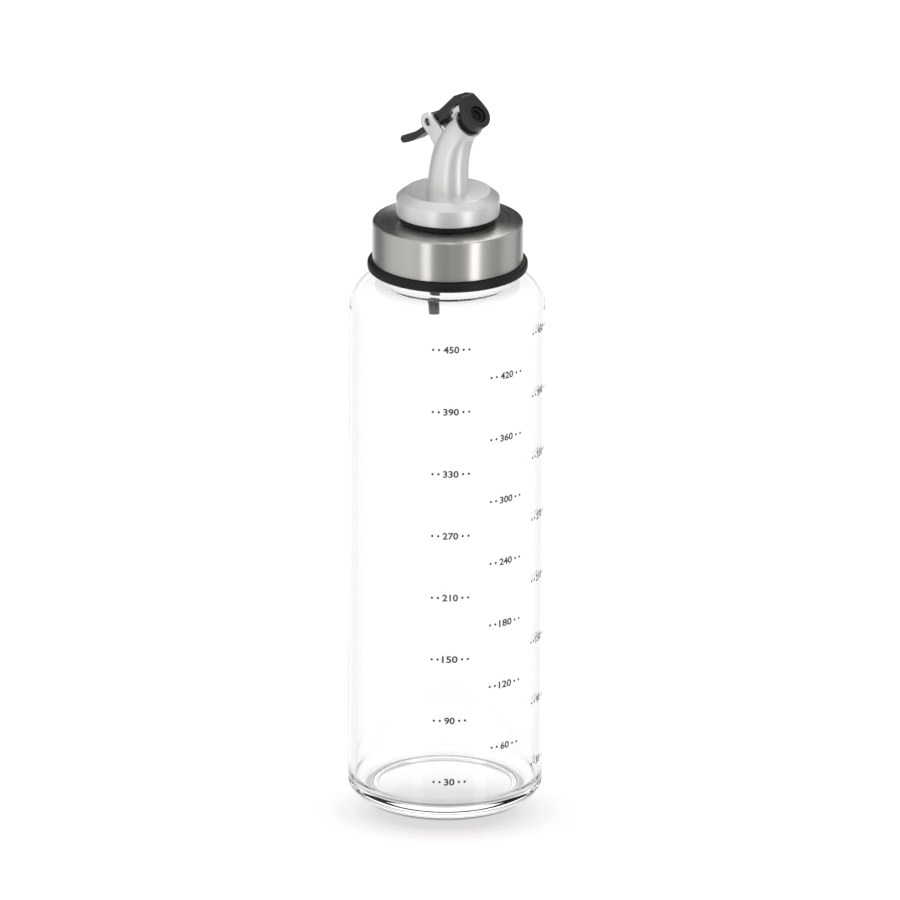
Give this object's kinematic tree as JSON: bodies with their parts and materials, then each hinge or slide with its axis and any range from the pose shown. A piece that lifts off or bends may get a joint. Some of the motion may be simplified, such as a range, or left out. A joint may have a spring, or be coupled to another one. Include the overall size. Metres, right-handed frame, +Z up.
{
  "type": "oil dispenser bottle",
  "caption": "Tall clear glass oil bottle with a printed millilitre scale, a steel-clad screw cap and a bent pouring spout closed by a sprung thumb lever.",
  "frame": {"origin": "centre of the bottle's base, on the surface it stands on", "axes": "+Z up along the bottle's axis; +X towards the spout's mouth; the lever's pin lies along Y"},
  "size_m": [0.064, 0.064, 0.2428],
  "materials": {
    "clear_glass": "clear, smooth borosilicate glass",
    "brushed_steel": "fine brushed, round the side and in circles on top",
    "satin_silver": "satin silver metallised moulding",
    "black_plastic": "black, lightly textured",
    "grey_plastic": "dark grey, smooth",
    "black_rubber": "black, soft",
    "silicone": "translucent white",
    "bare_steel": "bright drawn steel"
  },
  "bodies": {
    "bottle": {"glass_bottle": "clear_glass"},
    "seal": {"neck_gasket": "silicone"},
    "cap": {"cap_shell": "brushed_steel", "cap_insert": "black_plastic"},
    "pourer": {"base_gasket": "black_rubber", "stopper_plug": "silicone", "spout_shell": "satin_silver", "spout_core": "black_plastic", "vent_tube": "grey_plastic", "nozzle_tip": "black_rubber", "pivot_pin": "bare_steel", "lever_spring": "bare_steel"},
    "lever": {"lever": "black_plastic", "lever_seal": "black_rubber"}
  },
  "joints": [
    {"name": "cap_lift", "type": "slide", "parent": "bottle", "child": "seal", "axis": [0, 0, 1], "range_m": [0, 0.00601]},
    {"name": "cap_turn", "type": "hinge", "parent": "seal", "child": "cap", "pos_m": [0, 0, 0.19], "axis": [0, 0, 1], "range_deg": [0, 540]},
    {"name": "pourer_pull", "type": "slide", "parent": "cap", "child": "pourer", "axis": [0, 0, 1], "range_m": [0, 0.034]},
    {"name": "lever_press", "type": "hinge", "parent": "pourer", "child": "lever", "pos_m": [-0.00534, 0, 0.2311], "axis": [0, -1, 0], "range_deg": [0, 30], "stiffness_Nm_per_rad": 0.03, "springref_deg": -34.38, "deforming": ["lever_spring"]}
  ],
  "couplings": [
    {"joint": "cap_lift", "follows": "cap_turn", "m_per_rad": 0.00063662}
  ]
}
